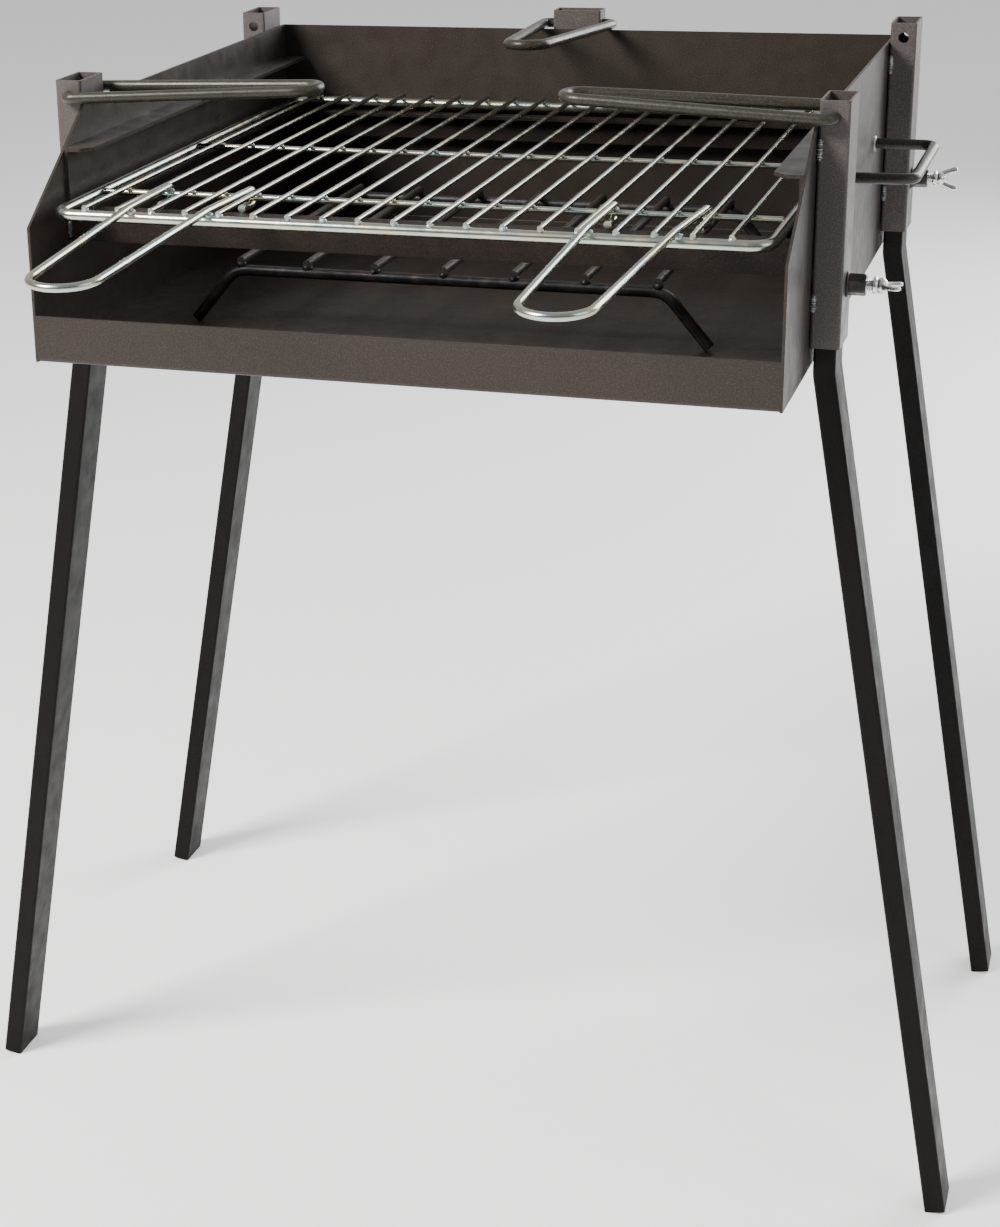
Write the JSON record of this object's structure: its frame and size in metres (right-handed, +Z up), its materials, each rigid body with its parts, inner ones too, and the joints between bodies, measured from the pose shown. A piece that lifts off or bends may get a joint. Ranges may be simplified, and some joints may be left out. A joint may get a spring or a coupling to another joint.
{
  "type": "charcoal barbecue",
  "caption": "Free-standing charcoal barbecue: open-fronted sheet-metal fire box on splayed clamped tube legs, with a sliding wire grid, an ember grate and swing-over pan arms.",
  "frame": {"origin": "on the ground, under the middle of the object's bounding box", "axes": "+Z up; +Y to the back, away from the cook; +X to the cook's right"},
  "size_m": [0.7746, 0.7064, 0.82],
  "materials": {
    "paint": "satin dark brown heat-resistant paint, finely speckled",
    "black_steel": "matt black steel",
    "grid_zinc": "bright zinc plating",
    "zinc": "satin zinc plating"
  },
  "bodies": {
    "firebox": {"box_pan": "paint", "side_panel_left": "paint", "side_panel_right": "paint", "post_front_left": "paint", "post_front_right": "paint", "post_rear_left": "paint", "post_rear_right": "paint", "rear_arm_bracket": "paint", "side_handle_left": "paint", "side_handle_right": "paint", "grid_guide_left": "paint", "grid_guide_right": "paint", "crossbar_front": "paint", "crossbar_rear": "paint", "clamp_nuts": "black_steel"},
    "leg_front_left": {"leg_front_left": "paint"},
    "leg_front_right": {"leg_front_right": "paint"},
    "leg_rear_left": {"leg_rear_left": "paint"},
    "leg_rear_right": {"leg_rear_right": "paint"},
    "clamp_screw_front_left": {"clamp_screw_front_left": "zinc"},
    "screw_wing_front_left": {"screw_wing_front_left": "zinc"},
    "clamp_screw_front_right": {"clamp_screw_front_right": "zinc"},
    "screw_wing_front_right": {"screw_wing_front_right": "zinc"},
    "clamp_screw_rear_left": {"clamp_screw_rear_left": "zinc"},
    "screw_wing_rear_left": {"screw_wing_rear_left": "zinc"},
    "clamp_screw_rear_right": {"clamp_screw_rear_right": "zinc"},
    "screw_wing_rear_right": {"screw_wing_rear_right": "zinc"},
    "pan_arm_left": {"pan_arm_left": "paint"},
    "pan_arm_right": {"pan_arm_right": "paint"},
    "pan_arm_rear": {"pan_arm_rear": "paint"},
    "cooking_grid": {"grid_frame": "grid_zinc", "grid_rungs": "grid_zinc", "grid_wires": "grid_zinc", "grid_handle_left": "grid_zinc", "grid_handle_right": "grid_zinc"},
    "ember_grate": {"ember_grate_front": "black_steel", "ember_grate_rear": "black_steel", "ember_grate_bars": "black_steel"}
  },
  "joints": [
    {"name": "leg_slide_front_left", "type": "slide", "parent": "firebox", "child": "leg_front_left", "axis": [0, 0, -1], "range_m": [0, 0.085]},
    {"name": "leg_slide_front_right", "type": "slide", "parent": "firebox", "child": "leg_front_right", "axis": [0, 0, -1], "range_m": [0, 0.085]},
    {"name": "leg_slide_rear_left", "type": "slide", "parent": "firebox", "child": "leg_rear_left", "axis": [0, 0, -1], "range_m": [0, 0.085]},
    {"name": "leg_slide_rear_right", "type": "slide", "parent": "firebox", "child": "leg_rear_right", "axis": [0, 0, -1], "range_m": [0, 0.085]},
    {"name": "screw_travel_front_left", "type": "slide", "parent": "firebox", "child": "clamp_screw_front_left", "axis": [-1, 0, 0], "range_m": [0, 0.0037]},
    {"name": "screw_turn_front_left", "type": "hinge", "parent": "clamp_screw_front_left", "child": "screw_wing_front_left", "pos_m": [-0.3, -0.06243, 0.696], "axis": [-1, 0, 0], "range_deg": [0, 1080]},
    {"name": "screw_travel_front_right", "type": "slide", "parent": "firebox", "child": "clamp_screw_front_right", "axis": [1, 0, 0], "range_m": [0, 0.0037]},
    {"name": "screw_turn_front_right", "type": "hinge", "parent": "clamp_screw_front_right", "child": "screw_wing_front_right", "pos_m": [0.3, -0.06243, 0.696], "axis": [1, 0, 0], "range_deg": [0, 1080]},
    {"name": "screw_travel_rear_left", "type": "slide", "parent": "firebox", "child": "clamp_screw_rear_left", "axis": [-1, 0, 0], "range_m": [0, 0.0037]},
    {"name": "screw_turn_rear_left", "type": "hinge", "parent": "clamp_screw_rear_left", "child": "screw_wing_rear_left", "pos_m": [-0.3, 0.30857, 0.696], "axis": [-1, 0, 0], "range_deg": [0, 1080]},
    {"name": "screw_travel_rear_right", "type": "slide", "parent": "firebox", "child": "clamp_screw_rear_right", "axis": [1, 0, 0], "range_m": [0, 0.0037]},
    {"name": "screw_turn_rear_right", "type": "hinge", "parent": "clamp_screw_rear_right", "child": "screw_wing_rear_right", "pos_m": [0.3, 0.30857, 0.696], "axis": [1, 0, 0], "range_deg": [0, 1080]},
    {"name": "arm_swing_left", "type": "hinge", "parent": "firebox", "child": "pan_arm_left", "pos_m": [-0.2706, -0.06243, 0.8086], "axis": [0, -1, 0], "range_deg": [0, 256]},
    {"name": "arm_swing_right", "type": "hinge", "parent": "firebox", "child": "pan_arm_right", "pos_m": [0.2706, -0.06243, 0.8086], "axis": [0, 1, 0], "range_deg": [0, 256]},
    {"name": "arm_swing_rear", "type": "hinge", "parent": "firebox", "child": "pan_arm_rear", "pos_m": [0, 0.34318, 0.8086], "axis": [-1, 0, 0], "range_deg": [0, 256]},
    {"name": "grid_slide", "type": "slide", "parent": "firebox", "child": "cooking_grid", "axis": [0, -1, 0], "range_m": [0, 0.45]},
    {"name": "ember_grate_lift", "type": "slide", "parent": "firebox", "child": "ember_grate", "axis": [0, 0, 1], "range_m": [0, 0.04]}
  ],
  "couplings": [
    {"joint": "screw_turn_front_left", "follows": "screw_travel_front_left", "rad_per_m": 5026.5},
    {"joint": "screw_turn_front_right", "follows": "screw_travel_front_right", "rad_per_m": 5026.5},
    {"joint": "screw_turn_rear_left", "follows": "screw_travel_rear_left", "rad_per_m": 5026.5},
    {"joint": "screw_turn_rear_right", "follows": "screw_travel_rear_right", "rad_per_m": 5026.5}
  ]
}
